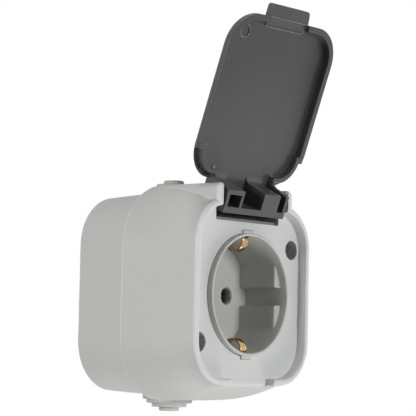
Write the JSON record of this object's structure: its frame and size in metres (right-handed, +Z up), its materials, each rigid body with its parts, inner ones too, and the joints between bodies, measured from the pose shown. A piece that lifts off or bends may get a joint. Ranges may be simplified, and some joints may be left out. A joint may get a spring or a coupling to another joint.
{
  "type": "outdoor weatherproof socket",
  "caption": "Surface-mounted weatherproof wall socket: tapered box with a domed cover, a round earthed plug well with side clips, stepped cable grommets and a hinged dark lid standing open.",
  "frame": {"origin": "on the plug well's axis, at the wall face of the rear box", "axes": "+Y points into the wall, -Y is the front, +X is right as seen from the front, +Z is up"},
  "size_m": [0.065, 0.0644, 0.1353],
  "materials": {
    "body_grey": "fine matte moulded plastic",
    "well_grey": "smooth satin moulded plastic",
    "gasket_rubber": "soft matte rubber",
    "grommet_rubber": "matte soft rubber",
    "carrier_plastic": "dull thermoset",
    "contact_brass": "plain drawn brass",
    "clip_brass": "bent spring strip, slightly tarnished",
    "screw_steel": "zinc plated",
    "lid_anthracite": "satin moulded plastic",
    "liner_dark": "satin moulded plastic"
  },
  "bodies": {
    "housing": {"rear_box": "body_grey", "front_cover": "body_grey", "socket_well": "well_grey", "cover_gasket": "gasket_rubber", "top_grommet": "grommet_rubber", "bottom_grommet": "grommet_rubber", "contact_carrier": "carrier_plastic", "live_contact": "contact_brass", "neutral_contact": "contact_brass", "earth_strap": "clip_brass", "live_terminal": "contact_brass", "neutral_terminal": "contact_brass", "earth_terminal": "contact_brass", "live_terminal_screw": "screw_steel", "neutral_terminal_screw": "screw_steel", "earth_terminal_screw": "screw_steel", "carrier_screws": "screw_steel", "upper_cover_screw": "screw_steel", "lower_cover_screw": "screw_steel", "hinge_liner": "liner_dark"},
    "lid": {"lid": "lid_anthracite"}
  },
  "joints": [
    {"name": "lid_hinge", "type": "hinge", "parent": "housing", "child": "lid", "pos_m": [0, -0.04625, 0.03275], "axis": [1, 0, 0], "range_deg": [0, 160.35]}
  ]
}
